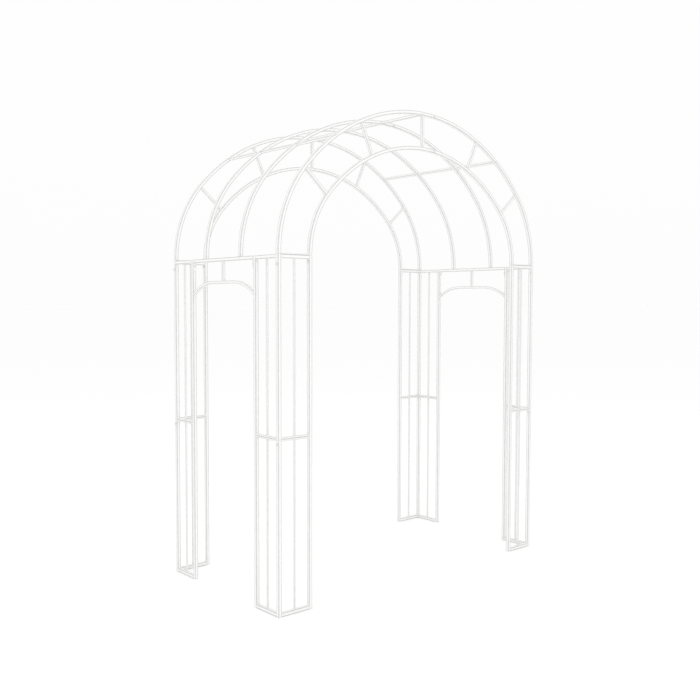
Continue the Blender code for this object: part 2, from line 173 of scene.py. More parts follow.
def rounded_section(height, width, corner):
    """Outlines of rolled tube, one for each row of sizes, as (rows, points, 2) of up and across.

    Each corner is a quarter circle about (height/2 - r, width/2 - r), turned to its quadrant, and
    each flat has a point a little way in from both its corners, which keeps its shading flat.
    """
    height, width, corner = (
        np.atleast_1d(np.asarray(value, float))[:, None] for value in (height, width, corner)
    )
    inset = FLAT_INSET * np.minimum(height / 2 - corner, width / 2 - corner)
    rows = []
    for quadrant in range(4):
        swap = quadrant % 2
        first, second = (width, height) if swap else (height, width)
        along = (first / 2 - corner) + corner * np.cos(CORNER_TURNS)
        aside = (second / 2 - corner) + corner * np.sin(CORNER_TURNS)
        along = np.hstack([first / 2, along, first / 2 - corner - inset])
        aside = np.hstack([second / 2 - corner - inset, aside, second / 2])
        spin = math.pi / 2 * quadrant
        cos, sin = round(math.cos(spin)), round(math.sin(spin))
        rows.append(np.stack([along * cos - aside * sin, along * sin + aside * cos], axis=-1))
    return np.concatenate(rows, axis=1)


def corner_film_and_shade():
    """How thin the coating is, and how much painted shade darkens it, at each point of an outline.

    It is 1 where a corner meets a flat and (1 + cos 4a) / 2 between, at an angle a round the
    corner, so the powder is full on the middle of the corner, and it falls to 0 on the flats. The
    grey it gives is partly primer where the powder pulls thin and partly painted shade, a dark
    line along each side of a corner.
    """
    quarter = 0.5 + 0.5 * np.cos(4 * CORNER_TURNS)
    return np.tile(np.concatenate([[0], quarter, [0]]), 4)


def grid_faces(rows, columns, closed_rows=False):
    """Quads of a grid that closes on itself across its columns, and along its rows if asked."""
    last = rows if closed_rows else rows - 1
    i = np.arange(last)[:, None] * columns
    j = np.arange(columns)[None, :]
    next_row = (i + columns) % (rows * columns)
    next_column = (j + 1) % columns
    quads = np.stack([i + j, i + next_column, next_row + next_column, next_row + j], axis=-1)
    return quads.reshape(-1, 4)


def outward(points, quads, caps=()):
    """The quads and caps as lists, turned round if the quads face inwards.

    They do where the volumes of the pyramids from the points' mean to the quads add up to less
    than nothing.
    """
    first, second, third, fourth = (points[quads[:, k]] - points.mean(axis=0) for k in range(4))
    volume = (first * np.cross(second, third) + first * np.cross(third, fourth)).sum()
    faces = quads.tolist() + list(caps)
    return faces if volume > 0 else [face[::-1] for face in faces]


def shell(rings, film_and_shade):
    """One closed surface through rings of points, flat across its first and last ring."""
    rows, columns = rings.shape[:2]
    points = rings.reshape(-1, 3)
    caps = [list(range(columns))[::-1], list(range((rows - 1) * columns, rows * columns))]
    return points, outward(points, grid_faces(rows, columns), caps), np.asarray(film_and_shade, float).reshape(-1)


def straight(start, end, up):
    """A path: distances from start become points on the line to end, with its up and across."""
    start, end = np.asarray(start, float), np.asarray(end, float)
    along = (end - start) / np.linalg.norm(end - start)
    across = np.cross(along, up)

    def place(distance):
        points = start + np.outer(distance, along)
        return points, np.broadcast_to(up, points.shape), np.broadcast_to(across, points.shape)

    return place, float(np.linalg.norm(end - start))


def tube(path, length, size, corner, first="butt", last="butt", steps=1):
    """A tube along a path, as a chain of outlines carried along it.

    size is (up, across). An end is "butt", "round", ("spigot", length, size, corner) or
    ("socket", depth, size, corner): its outlines step inwards round the rim, and then run on
    past the end for a spigot, or back inside for a socket. Behind a rim one more outline, a
    little way in, keeps the rim's rounding out of the shading of the long faces.
    """
    stations = set(np.linspace(0, length, steps + 1).tolist())
    stations |= {END_SUPPORT} if first != "butt" else set()
    stations |= {length - END_SUPPORT} if last != "butt" else set()
    body = [(d, *size, corner) for d in sorted(stations)]
    start = end_outlines(first, 0, 1, size, corner)
    finish = end_outlines(last, length, -1, size, corner)[::-1]
    distance, height, width, radius = np.array(start + body + finish).T
    outlines = rounded_section(height, width, radius)
    points, up, across = path(distance)
    rings = points[:, None] + outlines[..., :1] * up[:, None] + outlines[..., 1:] * across[:, None]
    # The corners carry the mask of thin coat and painted shade.
    return shell(rings, np.broadcast_to(corner_film_and_shade(), rings.shape[:2]))


def end_outlines(kind, at, inwards, size, corner):
    """Rows of (distance, up, across, corner) that finish an end, from its tip to the tube's body.

    The rim is an arc: at a turn t its outline is END_ROUND (1 - sin t) smaller on each side and
    END_ROUND (1 - cos t) behind the tip.
    """
    if kind == "butt":
        return []
    rim = []
    for turn in RIM_TURNS:
        inset = END_ROUND * (1 - math.sin(turn))
        back = END_ROUND * (1 - math.cos(turn))
        sides = (side - 2 * inset for side in size)
        rim.append((at + inwards * back, *sides, max(corner - inset, LEAST_CORNER)))
    if kind == "round":
        return rim
    form, reach, inner, inner_corner = kind
    run = -inwards * reach if form == "spigot" else inwards * reach
    stages = np.linspace(1, 0, PLUG_STAGES)
    return [(at + run * stage, *inner, inner_corner) for stage in stages] + rim


def weld(centre, up, across, along, size, corner, proud, leg=FILLET, seed=0):
    """A weld bead round the foot of a member, a closed ring of ellipses.

    The ring follows the member's outline. Each ellipse has one half-axis along the member and one
    straight out from it, and the second is mixed from proud = (up, down, across, back), the bead's
    height on each side, by the squares of the outline's direction. Ripples are a cosine along it
    and a slower, weaker sine, both shifted by the seed.
    """
    outline = rounded_section(*size, corner)[0]
    closed = np.vstack([outline, outline[:1]])
    lengths = np.concatenate([[0], np.cumsum(np.linalg.norm(np.diff(closed, axis=0), axis=1))])
    stations = np.linspace(0, lengths[-1], BEAD_LOOPS, endpoint=False)
    path = np.stack([np.interp(stations, lengths, closed[:, k]) for k in (0, 1)], axis=-1)
    ahead = np.roll(path, -1, axis=0) - np.roll(path, 1, axis=0)
    out = np.stack([ahead[:, 1], -ahead[:, 0]], axis=-1)
    out /= np.linalg.norm(out, axis=1)[:, None]
    towards = [out[:, 0], -out[:, 0], out[:, 1], -out[:, 1]]
    share = np.stack(towards, axis=-1).clip(0) ** 2
    ripple = (
        1
        + 0.07 * np.cos(2 * math.pi * stations / RIPPLE + seed)
        + 0.05 * np.sin(3.1 * seed + stations * RIPPLE_DRIFT)
    )
    height = (share @ np.asarray(proud)) * ripple
    reach = leg * (0.7 + 0.3 * (height / max(proud)).clip(0, 1)) * ripple
    turns = np.linspace(0, 2 * math.pi, BEAD_SIDES, endpoint=False)
    outwards = (height[:, None] * np.cos(turns) - BEAD_SINK)[..., None] * out[:, None]
    flat = path[:, None] + outwards
    rings = (
        np.asarray(centre)
        + flat[..., :1] * up
        + flat[..., 1:] * across
        + (reach[:, None] * np.sin(turns))[..., None] * along
    )
    points = rings.reshape(-1, 3)
    quads = grid_faces(BEAD_LOOPS, BEAD_SIDES, closed_rows=True)
    return points, outward(points, quads), np.full(len(points), BEAD_FILM)


def turned(middle, axis, profile):
    """A turned solid: circles of (distance, radius, hex) along an axis.

    hex mixes the circle with a hexagon: at an angle a its radius is flats / 2 / cos(a from the
    nearest flat's middle), held inside the circle that a chamfer leaves. The enamel is worn by the
    cube of the way from a flat's middle to the hexagon's corner.
    """
    distance, radius, hexagon = np.array(profile).T
    helper = X if abs(axis[0]) < 0.5 else Z
    first = np.cross(axis, helper)
    second = np.cross(axis, first)
    angle = np.arange(TURNED_SIDES) * 2 * math.pi / TURNED_SIDES
    from_flat = (angle + math.pi / 6) % (math.pi / 3) - math.pi / 6
    hexed = np.minimum(NUT_FLATS / 2 / np.cos(from_flat)[None], radius[:, None])
    radii = np.where(hexagon[:, None] > 0.5, hexed, radius[:, None])
    spokes = np.cos(angle)[:, None] * first + np.sin(angle)[:, None] * second
    rings = middle + distance[:, None, None] * axis + radii[..., None] * spokes[None]
    worn = hexagon[:, None] * (np.abs(from_flat) / (math.pi / 6)).clip(0, 1)[None] ** 3
    return shell(rings, worn)


# ---------------------------------------------------------------- finishes


def paint_colour(hex_value):
    """Linear RGBA of an sRGB hex colour."""
    channels = [int(hex_value[i : i + 2], 16) / 255 for i in (1, 3, 5)]
    return [c / 12.92 if c <= 0.04045 else ((c + 0.055) / 1.055) ** 2.4 for c in channels] + [1.0]


def add_node(tree, kind, output, settings=None, **links):
    """Adds a shader node and returns one of its outputs, by name or place.

    Its properties come from settings, and its inputs from links by name. A link is another
    node's output, or a plain value for the socket. Underscores in an input's name stand for
    spaces, and a name such as input_2 is the input at that position.
    """
    node = tree.nodes.new(kind)
    for name, value in (settings or {}).items():
        setattr(node, name, value)
    for name, value in links.items():
        by_place = name.startswith("input_")
        socket = node.inputs[int(name[6:])] if by_place else node.inputs[name.replace("_", " ")]
        if isinstance(value, bpy.types.NodeSocket):
            tree.links.new(value, socket)
        else:
            socket.default_value = value
    return node.outputs[output]


# A colour mix has its share at input 0, its colours at inputs 6 and 7, and its result at output 2.
COLOURS = {"data_type": "RGBA"}
TIMES = {"operation": "MULTIPLY"}


def new_material(name, **shader_values):
    material = bpy.data.materials.new(name)
    material.use_nodes = True
    tree = material.node_tree
    shader = tree.nodes["Principled BSDF"]
    for socket, value in shader_values.items():
        shader.inputs[socket.replace("_", " ")].default_value = value
    return material, tree, shader


def white_powder_coat():
    """Polyester powder baked on steel: a soft satin with orange peel in it.

    Powder builds up on the middle of a corner and pulls away beside it, so the grey of the
    primer shows through there in patches. That band is 3 mm wide on the tube, drawn wider
    and greyer than a real one as painted shade, so that the corners show as dark outlines in
    the render.
    """
    material, tree, shader = new_material("white_powder_coat", IOR=1.5)
    place = add_node(tree, "ShaderNodeTexCoord", "Object")
    # Slow drifts of tone, some 110 mm long.
    drift = add_node(tree, "ShaderNodeTexNoise", "Fac", Vector=place, Scale=9.0, Detail=3.0)
    white, warm_white = paint_colour("#F3F3F2"), paint_colour("#F0F0EE")
    tone = add_node(tree, "ShaderNodeMix", 2, COLOURS, input_0=drift, input_6=white, input_7=warm_white)
    # Beside the corners, patches of thinner and thicker powder, some 17 mm long, greyed further
    # by painted shade along the corners.
    film_and_shade = add_node(tree, "ShaderNodeAttribute", "Fac", {"attribute_name": "thin_coat_and_edge_shade"})
    cloud = add_node(tree, "ShaderNodeTexNoise", "Fac", Vector=place, Scale=60.0, Detail=4.0)
    uneven = {"From_Min": 0.25, "From_Max": 0.65, "To_Min": 0.7, "To_Max": 1.0}
    patches = add_node(tree, "ShaderNodeMapRange", "Result", Value=cloud, **uneven)
    thin = add_node(tree, "ShaderNodeMath", 0, TIMES, input_0=film_and_shade, input_1=patches)
    bare_and_shade = add_node(tree, "ShaderNodeMath", 0, TIMES, input_0=thin, input_1=0.85)
    # The primer grey is also the colour of the painted shade along the tube corners.
    primer_and_edge_shade = paint_colour("#8F9193")
    coat = add_node(tree, "ShaderNodeMix", 2, COLOURS, input_0=bare_and_shade, input_6=tone, input_7=primer_and_edge_shade)
    tree.links.new(coat, shader.inputs["Base Color"])
    # The satin is a little duller and glossier in places some 30 mm long.
    satin = add_node(tree, "ShaderNodeTexNoise", "Fac", Vector=place, Scale=35.0, Detail=2.0)
    gloss = add_node(tree, "ShaderNodeMapRange", "Result", Value=satin, To_Min=0.32, To_Max=0.46)
    tree.links.new(gloss, shader.inputs["Roughness"])
    # Orange peel: waves about 2.5 mm long. They are some 0.05 mm high here, which is about three
    # times the real height, so that the satin breaks up in a close view.
    peel = add_node(tree, "ShaderNodeTexNoise", "Fac", Vector=place, Scale=400.0, Detail=1.0)
    bump = add_node(tree, "ShaderNodeBump", "Normal", Height=peel, Strength=0.5, Distance=0.0002)
    tree.links.new(bump, shader.inputs["Normal"])
    return material


def bolt_enamel():
    """White enamel brushed over the bolts: glossier than the powder, rubbed grey on the nuts' corners."""
    material, tree, shader = new_material("white_bolt_enamel", IOR=1.5)
    place = add_node(tree, "ShaderNodeTexCoord", "Object")
    # Thick and thin places some 5 mm across, in tone and in gloss.
    cloud = add_node(tree, "ShaderNodeTexNoise", "Fac", Vector=place, Scale=180.0, Detail=3.0)
    thick, thin = paint_colour("#ECECEB"), paint_colour("#E4E4E2")
    tone = add_node(tree, "ShaderNodeMix", 2, COLOURS, input_0=cloud, input_6=thick, input_7=thin)
    gloss = add_node(tree, "ShaderNodeMapRange", "Result", Value=cloud, To_Min=0.28, To_Max=0.42)
    tree.links.new(gloss, shader.inputs["Roughness"])
    # The rub is broken up about every 1.5 mm.
    worn = add_node(tree, "ShaderNodeAttribute", "Fac", {"attribute_name": "thin_coat_and_edge_shade"})
    specks = add_node(tree, "ShaderNodeTexNoise", "Fac", Vector=place, Scale=700.0, Detail=2.0)
    patches = add_node(tree, "ShaderNodeMapRange", "Result", Value=specks, From_Min=0.42, From_Max=0.58)
    bare_and_shade = add_node(tree, "ShaderNodeMath", 0, TIMES, input_0=worn, input_1=patches)
    steel = paint_colour("#9EA1A2")
    colour = add_node(tree, "ShaderNodeMix", 2, COLOURS, input_0=bare_and_shade, input_6=tone, input_7=steel)
    tree.links.new(colour, shader.inputs["Base Color"])
    # Brush marks and runs about 2 mm across.
    runs = add_node(tree, "ShaderNodeTexNoise", "Fac", Vector=place, Scale=500.0, Detail=1.0)
    bump = add_node(tree, "ShaderNodeBump", "Normal", Height=runs, Strength=0.3, Distance=0.0001)
    tree.links.new(bump, shader.inputs["Normal"])
    return material


POWDER_COAT = white_powder_coat()
BOLT_ENAMEL = bolt_enamel()


# ---------------------------------------------------------------- pieces


def make_piece(node, suffix, shells, material):
    """One mesh from closed surfaces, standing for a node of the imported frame."""
    points, faces, film_and_shade, start = [], [], [], 0
    for shell_points, shell_faces, shell_film_and_shade in shells:
        points.append(shell_points)
        faces += [[index + start for index in face] for face in shell_faces]
        film_and_shade.append(shell_film_and_shade)
        start += len(shell_points)
    mesh = bpy.data.meshes.new(f"{node}_{suffix}")
    mesh.from_pydata(np.concatenate(points).tolist(), [], faces)
    # Thin coat and wear for the materials to grey, and on the tubes' corners painted shade as well.
    thin_coat_and_edge_shade = mesh.attributes.new("thin_coat_and_edge_shade", "FLOAT", "POINT")
    thin_coat_and_edge_shade.data.foreach_set("value", np.concatenate(film_and_shade).astype(np.float32))
    mesh.materials.append(material)
    mesh.shade_smooth()
    mesh.set_sharp_from_angle(angle=SHARP_ANGLE)
    piece = bpy.data.objects.new(f"{node}_{suffix}", mesh)
    bpy.context.scene.collection.objects.link(piece)
    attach(piece, "root")
    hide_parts(node)
    return piece


def welded(node, shells):
    return make_piece(node, "welded", shells, POWDER_COAT)


def leg_posts(side_x, side_y):
    """Centres of a leg's corner post, of its front panel's end post and of its side panel's."""
    corner = np.array([side_x * HALF_WIDTH, side_y * HALF_DEPTH, 0])
    return corner, corner - X * side_x * PANEL_WIDTH, corner - Y * side_y * PANEL_WIDTH


def butt_tube(start, end, up, size, corner):
    """A tube cut square between two faces, run a little into both under its welds."""
    start, end = np.asarray(start, float), np.asarray(end, float)
    along = (end - start) / np.linalg.norm(end - start)
    path, length = straight(start - along * BUTT_DEPTH, end + along * BUTT_DEPTH, up)
    return tube(path, length, size, corner)


def panel_bar(corner, end, height, middle, dressed):
    """A crossbar between two posts with a bead at each end.

    dressed says where it is ground flush: -1 for its underside, 1 for its top.
    """
    along = (end - corner) / np.linalg.norm(end - corner)
    side = np.cross(Z, along)
    first = corner + along * TUBE / 2 + Z * middle
    last = end - along * TUBE / 2 + Z * middle
    round_by = TUBE_CORNER if height == TUBE else THIN_TUBE_CORNER
    shells = [butt_tube(first, last, Z, (height, TUBE), round_by)]
    proud = (BURIED, FILLET, FLUSH, FLUSH) if dressed > 0 else (FILLET, BURIED, FLUSH, FLUSH)
    for number, place in enumerate((first, last)):
        seed = number + place[0] * 7 + place[1] * 5
        shells.append(weld(place, Z, side, along, (height, TUBE), round_by, proud, seed=seed))
    return shells


def leg_panels(side_x, side_y, low, high, low_bar, high_bar):
    """Both trellis panels of a leg section: crossbars at the foot and head, and an infill bar."""
    corner, front_end, side_end = leg_posts(side_x, side_y)
    shells = []
    for end in (front_end, side_end):
        shells += panel_bar(corner, end, low_bar, low + low_bar / 2, -1)
        shells += panel_bar(corner, end, high_bar, high - high_bar / 2, 1)
        middle = (corner + end) / 2
        foot, head = middle + Z * (low + low_bar), middle + Z * (high - high_bar)
        shells.append(butt_tube(foot, head, X, (INFILL, INFILL), BAR_CORNER))
        proud = [SMALL_FILLET] * 4
        for place in (foot, head):
            seed = place[2] * 9 + place[0]
            bead = weld(place, X, Y, Z, (INFILL, INFILL), BAR_CORNER, proud, leg=SMALL_FILLET, seed=seed)
            shells.append(bead)
    return shells


def post(centre, low, high, first, last):
    path, length = straight(centre + Z * low, centre + Z * high, X)
    return tube(path, length, (TUBE, TUBE), TUBE_CORNER, first, last)


def build_legs():
    inner = (SOCKET, SOCKET)
    plug = (SPIGOT, SPIGOT)
    leg_socket = ("socket", LEG_SPIGOT + SOCKET_EXTRA, inner, PLUG_CORNER)
    roof_socket = ("socket", ROOF_SPIGOT + SOCKET_EXTRA, inner, PLUG_CORNER)
    leg_spigot = ("spigot", LEG_SPIGOT + GAP, plug, PLUG_CORNER)
    for side_y, face in ((-1, "front"), (1, "back")):
        for side_x, side in ((-1, "left"), (1, "right")):
            posts = leg_posts(side_x, side_y)
            lower = leg_panels(side_x, side_y, 0, JOINT_HEIGHT, TUBE, THIN_TUBE)
            lower += [post(centre, 0, JOINT_HEIGHT, "round", leg_socket) for centre in posts]
            welded(f"{face}_{side}_lower_leg", lower)
            foot = JOINT_HEIGHT + GAP
            upper = leg_panels(side_x, side_y, foot, LEG_HEIGHT, THIN_TUBE, TUBE)
            for centre, head in zip(posts, (roof_socket, roof_socket, "round")):
                upper.append(post(centre, foot, LEG_HEIGHT, leg_spigot, head))
            welded(f"{face}_{side}_upper_leg", upper)


def rib_length(inset):
    haunch = (HAUNCH_RADIUS - inset) * HAUNCH_TURN
    return haunch, 2 * haunch + (CROWN_RADIUS - inset) * (math.pi - 2 * HAUNCH_TURN)


def rib_point(turn, inset):
    """Points and outward normals of a three-centred rib at turns from its left foot.

    The normal is (-cos turn, 0, sin turn), and the point is the arc's centre plus the normal times
    its radius less the inset. Haunch arcs stand at both feet with the crown arc between them.
    """
    turn = np.atleast_1d(turn)
    normal = np.stack([-np.cos(turn), np.zeros_like(turn), np.sin(turn)], axis=-1)
    left, right = turn < HAUNCH_TURN, turn > math.pi - HAUNCH_TURN
    centre_x = np.select([left, right], [HAUNCH_RADIUS - HALF_WIDTH, HALF_WIDTH - HAUNCH_RADIUS], 0.0)
    haunch = left | right
    centre_z = np.where(haunch, 0.0, RIB_RISE - CROWN_RADIUS)
    radius = np.where(haunch, HAUNCH_RADIUS, CROWN_RADIUS) - inset
    centre = np.stack([centre_x, np.zeros_like(turn), centre_z + SPRING_HEIGHT], axis=-1)
    return centre + normal * radius[:, None], normal


def rib_turn(distance, inset=0.0):
    """The turn at a distance along a rib: it grows evenly along each of the three arcs."""
    haunch, whole = rib_length(inset)
    distances = [0, haunch, whole - haunch, whole]
    return np.interp(distance, distances, [0, HAUNCH_TURN, math.pi - HAUNCH_TURN, math.pi])


def rib_path(y, inset, start):
    """A path along a rib from a distance start, carried straight down past either foot."""
    whole = rib_length(inset)[1]

    def place(distance):
        along = start + np.asarray(distance)
        points, normal = rib_point(rib_turn(along, inset), inset)
        below = (-along).clip(0) + (along - whole).clip(0)
        points = points + Y * y - below[:, None] * Z
        return points, normal, np.broadcast_to(Y, points.shape)

    return place


def half_rib(y, right, inset, foot, foot_end="butt"):
    """Half a rib: the left one ends in a spigot, and the right one starts with its socket.

    foot is how far it runs down past the spring line.
    """
    whole = rib_length(inset)[1]
    splice = whole / 2 + SPLICE_OFFSET
    if right:
        start, length = splice + GAP, whole - splice - GAP + foot
        first = ("socket", SPLICE_SPIGOT + SOCKET_EXTRA, (SOCKET, SOCKET), PLUG_CORNER)
        last = foot_end
    else:
        start, length = -foot, splice + foot
        first, last = foot_end, ("spigot", SPLICE_SPIGOT, (SPIGOT, SPIGOT), PLUG_CORNER)
    path = rib_path(y, inset, start)
    return tube(path, length, (TUBE, TUBE), TUBE_CORNER, first, last, steps=RIB_STEPS)


def purlin_point(line):
    point, normal = rib_point(rib_turn(PURLIN_STATIONS[line] * rib_length(0)[1]), 0)
    return point[0], normal[0]


def foot_plate(y, side):
    """The flat under a face arch, over the leg's front panel, with the two plugs below it."""
    overhang = TUBE / 2 - FOOT_PLATE_INSET
    height = SPRING_HEIGHT - FOOT_PLATE / 2
    ends = sorted((side * (HALF_WIDTH + overhang), side * (HALF_WIDTH - PANEL_WIDTH - overhang)))
    start, end = (np.array([x, y, height]) for x in ends)
    path, length = straight(start, end, Z)
    shells = [tube(path, length, (FOOT_PLATE, 2 * overhang), PLATE_CORNER, "round", "round")]
    for x in (side * HALF_WIDTH, side * (HALF_WIDTH - PANEL_WIDTH)):
        low = np.array([x, y, LEG_HEIGHT - ROOF_SPIGOT])
        path, length = straight(low, np.array([x, y, height]), X)
        shells.append(tube(path, length, (SPIGOT, SPIGOT), PLUG_CORNER, "round", "butt"))
    return shells


def face_arch_half(y, right):
    """Half of a front or back arch: two ribs, the ties between them and the flat over the leg."""
    side = 1 if right else -1
    shells = foot_plate(y, side)
    for inset in (0.0, PANEL_WIDTH):
        shells.append(half_rib(y, right, inset, FOOT_PLATE / 2))
        x = side * (HALF_WIDTH - inset)
        inside, outside = (RIB_FILLET, RIB_FLUSH) if inset == 0 else (RIB_FLUSH, RIB_FILLET)
        lean = (outside, inside) if right else (inside, outside)
        proud = (*lean, RIB_SIDE_BEAD, RIB_SIDE_BEAD)
        shells.append(weld((x, y, SPRING_HEIGHT), X, Y, Z, (TUBE, TUBE), TUBE_CORNER, proud, seed=x + y))
    for number in range(1, TIES_PER_FACE + 1):
        turn = float(rib_turn(rib_length(0)[1] * number / (TIES_PER_FACE + 1)))
        start = rib_point(turn, TUBE / 2)[0][0] + Y * y
        end = rib_point(turn, PANEL_WIDTH - TUBE / 2)[0][0] + Y * y
        if (start[0] > SPLICE_OFFSET) != right:
            continue
        along = (end - start) / np.linalg.norm(end - start)
        tangent = np.cross(along, Y)
        shells.append(butt_tube(start, end, Y, (BRACE, BRACE), BRACE_CORNER))
        for place in (start, end):
            seed = number + place[2]
            bead = weld(place, Y, tangent, along, (BRACE, BRACE), BRACE_CORNER, TIE_BEAD, seed=seed)
            shells.append(bead)
    return shells


def build_roof():
    for name, y in RIB_POSITIONS.items():
        for right, side in ((False, "left"), (True, "right")):
            if name in ("front", "back"):
                welded(f"{name}_arch_{side}_half", face_arch_half(y, right))
            else:
                foot = SPRING_HEIGHT - LEG_HEIGHT - GAP
                peg_socket = ("socket", RIB_PEG + SOCKET_EXTRA, (SOCKET, SOCKET), PLUG_CORNER)
                welded(f"{name}_rib_{side}_half", [half_rib(y, right, 0.0, foot, peg_socket)])
    build_purlins()


def build_purlins():
    """Three lengths on each line: pins go into the middle ribs, and screws come in from the face ribs."""
    hole = (2 * SCREW_HOLE, 2 * SCREW_HOLE)
    screwed = ("socket", SCREW_DEPTH + SOCKET_EXTRA, hole, SCREW_HOLE * NEARLY_ROUND)
    pinned = ("spigot", PIN_LENGTH, (2 * PIN, 2 * PIN), PIN * NEARLY_ROUND)
    positions = list(RIB_POSITIONS.values())
    for line in PURLIN_STATIONS:
        centre, normal = purlin_point(line)
        for bay, (start_y, end_y) in enumerate(zip(positions, positions[1:]), 1):
            low, high = start_y + TUBE / 2 + GAP, end_y - TUBE / 2 - GAP
            ends = [screwed if abs(rib_y) == HALF_DEPTH else pinned for rib_y in (start_y, end_y)]
            path, length = straight(centre + Y * low, centre + Y * high, normal)
            welded(f"{line}_purlin_bay_{bay}", [tube(path, length, (BRACE, BRACE), BRACE_CORNER, *ends)])


def side_opening_half():
    return HALF_DEPTH - PANEL_WIDTH - TUBE / 2


def transom_radius():
    return (side_opening_half() - TRANSOM_FLAT / 2) / math.sin(TRANSOM_TURN)


def transom(x):
    """The bent transom: a flat run that turns down on an arc at each end, cut flush with the posts.

    Past the flat a point is at flat/2 + R sin t across and R (1 - cos t) down, for t up to the
    bend's whole turn, and then goes straight on. What runs past a post's face is slid back to it
    along the bar.
    """
    radius = transom_radius()
    arc = radius * TRANSOM_TURN
    spare = BRACE
    half = TRANSOM_FLAT / 2 + arc + spare

    def place(distance):
        run = np.asarray(distance) - half
        side = np.sign(run)
        past = (np.abs(run) - TRANSOM_FLAT / 2).clip(0)
        turn = (past / radius).clip(0, TRANSOM_TURN)
        beyond = (past - arc).clip(0)
        across = np.minimum(np.abs(run), TRANSOM_FLAT / 2)
        across = across + radius * np.sin(turn) + beyond * np.cos(turn)
        height = LEG_HEIGHT - TRANSOM_DROP - (radius * (1 - np.cos(turn)) + beyond * np.sin(turn))
        points = np.stack([np.full_like(across, x), side * across, height], axis=-1)
        up = np.stack([np.zeros_like(across), side * np.sin(turn), np.cos(turn)], axis=-1)
        return points, up, np.broadcast_to(X, points.shape)

    points, faces, film_and_shade = tube(place, 2 * half, (BRACE, BRACE), BRACE_CORNER, steps=TRANSOM_STEPS)
    reach = side_opening_half() - GAP
    over = (np.abs(points[:, 1]) - reach).clip(0)
    points[:, 1] -= np.sign(points[:, 1]) * over
    points[:, 2] += over * math.tan(TRANSOM_TURN)
    return points, faces, film_and_shade


def side_frame(side_x):
    """The rail with a tab at each end, the transom on its stub below, and the pegs of two ribs above."""
    x = side_x * HALF_WIDTH
    reach = side_opening_half() - GAP
    rail = LEG_HEIGHT - TUBE / 2
    rail_end = reach - TAB_THICKNESS
    start, end = np.array([x, -rail_end, rail]), np.array([x, rail_end, rail])
    shells = [butt_tube(start, end, Z, (TUBE, TUBE), TUBE_CORNER)]
    radius = transom_radius()
    end_height = LEG_HEIGHT - TRANSOM_DROP - radius * (1 - math.cos(TRANSOM_TURN))
    for side_y in (-1, 1):
        tab_y = side_y * (reach - TAB_THICKNESS / 2)
        path, length = straight((x, tab_y, LEG_HEIGHT - TAB_HEIGHT), (x, tab_y, LEG_HEIGHT), Y)
        shells.append(tube(path, length, (TAB_THICKNESS, TUBE), PLATE_CORNER, "round", "round"))
        place = (x, side_y * rail_end, rail)
        shells.append(weld(place, Z, X, Y, (TUBE, TUBE), TUBE_CORNER, TAB_BEAD, seed=side_y + x))
        pin_root = (x, side_y * (reach - BRACE / 2), end_height)
        pin_tip = (x, side_y * (reach + PIN_LENGTH - PIN_SHORT), end_height)
        path, length = straight(pin_root, pin_tip, Z)
        shells.append(tube(path, length, (2 * PIN, 2 * PIN), PIN * NEARLY_ROUND, "butt", "round"))
    shells.append(transom(x))
    low = np.array([x, 0, LEG_HEIGHT - TRANSOM_DROP + BRACE / 2])
    high = np.array([x, 0, LEG_HEIGHT - TUBE])
    shells.append(butt_tube(low, high, Y, (BRACE, BRACE), BRACE_CORNER))
    for seed, (place, aside) in enumerate(((low, FLUSH), (high, SMALL_FILLET)), 1):
        proud = (FILLET, FILLET, aside, aside)
        shells.append(weld(place, Y, X, Z, (BRACE, BRACE), BRACE_CORNER, proud, seed=seed))
    for y in (RIB_POSITIONS["middle_1"], RIB_POSITIONS["middle_2"]):
        path, length = straight((x, y, LEG_HEIGHT - PEG_ROOT), (x, y, LEG_HEIGHT + RIB_PEG), X)
        shells.append(tube(path, length, (SPIGOT, SPIGOT), PLUG_CORNER, "butt", "round"))
    return shells


def bolt_profile(grip, capped):
    """(distance, radius, hex) along a bolt from the top of its cup head, from the grip's middle.

    The head is a circular arc over its width, and the cap nut is a chamfered hexagon under a
    shoulder and a half-ellipse.
    """
    under = -grip / 2 - GAP
    head = [
        (under - HEAD_HEIGHT * math.cos(t), HEAD_RADIUS * math.sin(t), 0)
        for t in np.radians([2, 12, 24, 36, 48, 60, 70, 79, 86])
    ]
    rows = head + [
        (under - EDGE_BREAK, HEAD_RADIUS, 0),
        (under, HEAD_RADIUS - EDGE_BREAK, 0),
        (under, BOLT_RADIUS, 0),
    ]
    if not capped:
        tip = grip / 2 + SCREW_REACH
        return rows + [(tip - THREAD_CHAMFER, BOLT_RADIUS, 0), (tip, BOLT_RADIUS * 0.75, 0)]
    washer = grip / 2 + GAP
    nut = washer + WASHER_THICKNESS
    dome = nut + NUT_HEIGHT
    shoulder = dome + CAP_HEIGHT * 0.3
    cap = CAP_HEIGHT * 0.7
    corner = NUT_FLATS / 2 / math.cos(math.pi / 6)
    rows += [
        (washer, BOLT_RADIUS, 0),
        (washer, WASHER_RADIUS - EDGE_BREAK, 0),
        (washer + EDGE_BREAK, WASHER_RADIUS, 0),
        (nut - EDGE_BREAK, WASHER_RADIUS, 0),
        (nut, WASHER_RADIUS - EDGE_BREAK, 0),
        (nut, NUT_FLATS * 0.47, 0),
        (nut + EDGE_BREAK / 4, NUT_FLATS * 0.485, 1),
        (nut + NUT_CHAMFER, corner, 1),
        (dome - NUT_CHAMFER, corner, 1),
        (dome, NUT_FLATS * 0.5, 1),
        (dome, NUT_FLATS * 0.44, 0),
        (shoulder, NUT_FLATS * 0.43, 0),
    ]
    return rows + [
        (shoulder + cap * math.sin(t), NUT_FLATS * 0.43 * math.cos(t), 0)
        for t in np.radians([12, 24, 36, 48, 60, 72, 82, 88])
    ]


def bolt(node, middle, axis, grip, capped=True):
    """A bolt with its washer and cap nut on, head first along its axis."""
    solid = turned(np.asarray(middle), np.asarray(axis, float), bolt_profile(grip, capped))
    return make_piece(node, "fastener", [solid], BOLT_ENAMEL)


